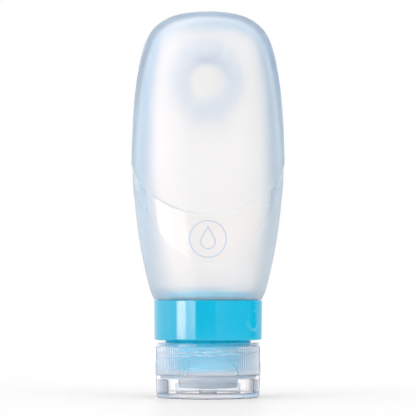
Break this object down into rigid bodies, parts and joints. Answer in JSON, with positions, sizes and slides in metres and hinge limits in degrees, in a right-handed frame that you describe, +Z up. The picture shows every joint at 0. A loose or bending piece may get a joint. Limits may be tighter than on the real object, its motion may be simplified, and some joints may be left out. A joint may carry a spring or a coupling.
{
  "type": "squeeze bottle",
  "caption": "Soft oval squeeze bottle standing upside down on a clear screw cap with a hinged flip lid, with a blue collar and a suction cup on its back.",
  "frame": {"origin": "centre of the closed lid's flat face, on the surface that the bottle stands on", "axes": "+Z up through the lid, cap, neck and body; -Y is the front, with the thumb recess; +Y is the back, with the hinge and the suction cup; +X to the right seen from the front"},
  "size_m": [0.0556, 0.0397, 0.1398],
  "materials": {
    "soft_silicone": "frosted translucent silicone",
    "blue_plastic": "glossy moulded polypropylene",
    "collar_plastic": "high gloss moulded plastic",
    "cup_silicone": "clear soft silicone",
    "clear_plastic": "clear moulded polypropylene",
    "seal_silicone": "satin silicone",
    "retainer_plastic": "clear moulded polypropylene"
  },
  "bodies": {
    "bottle": {"bottle_body": "soft_silicone", "neck_insert": "blue_plastic", "suction_cup": "cup_silicone"},
    "collar": {"collar_ring": "collar_plastic"},
    "liner": {"cap_gasket": "seal_silicone"},
    "cap": {"cap_base": "clear_plastic", "slit_valve": "seal_silicone", "valve_retainer": "retainer_plastic", "hinge_web": "clear_plastic"},
    "lid": {"flip_lid": "clear_plastic"}
  },
  "joints": [
    {"name": "collar_turn", "type": "hinge", "parent": "bottle", "child": "collar", "pos_m": [0, 0, 0.028], "axis": [0, 0, 1], "continuous": true},
    {"name": "cap_lift", "type": "slide", "parent": "bottle", "child": "liner", "axis": [0, 0, -1], "range_m": [0, 0.0106]},
    {"name": "cap_turn", "type": "hinge", "parent": "liner", "child": "cap", "pos_m": [0, 0, 0.014], "axis": [0, 0, -1], "range_deg": [0, 900]},
    {"name": "lid_hinge", "type": "hinge", "parent": "cap", "child": "lid", "pos_m": [-0.00184, 0.01911, 0.00816], "axis": [0.9954, 0.0958, 0], "range_deg": [0, 130], "deforming": ["hinge_web"]}
  ],
  "couplings": [
    {"joint": "cap_lift", "follows": "cap_turn", "m_per_rad": 0.00066845}
  ]
}
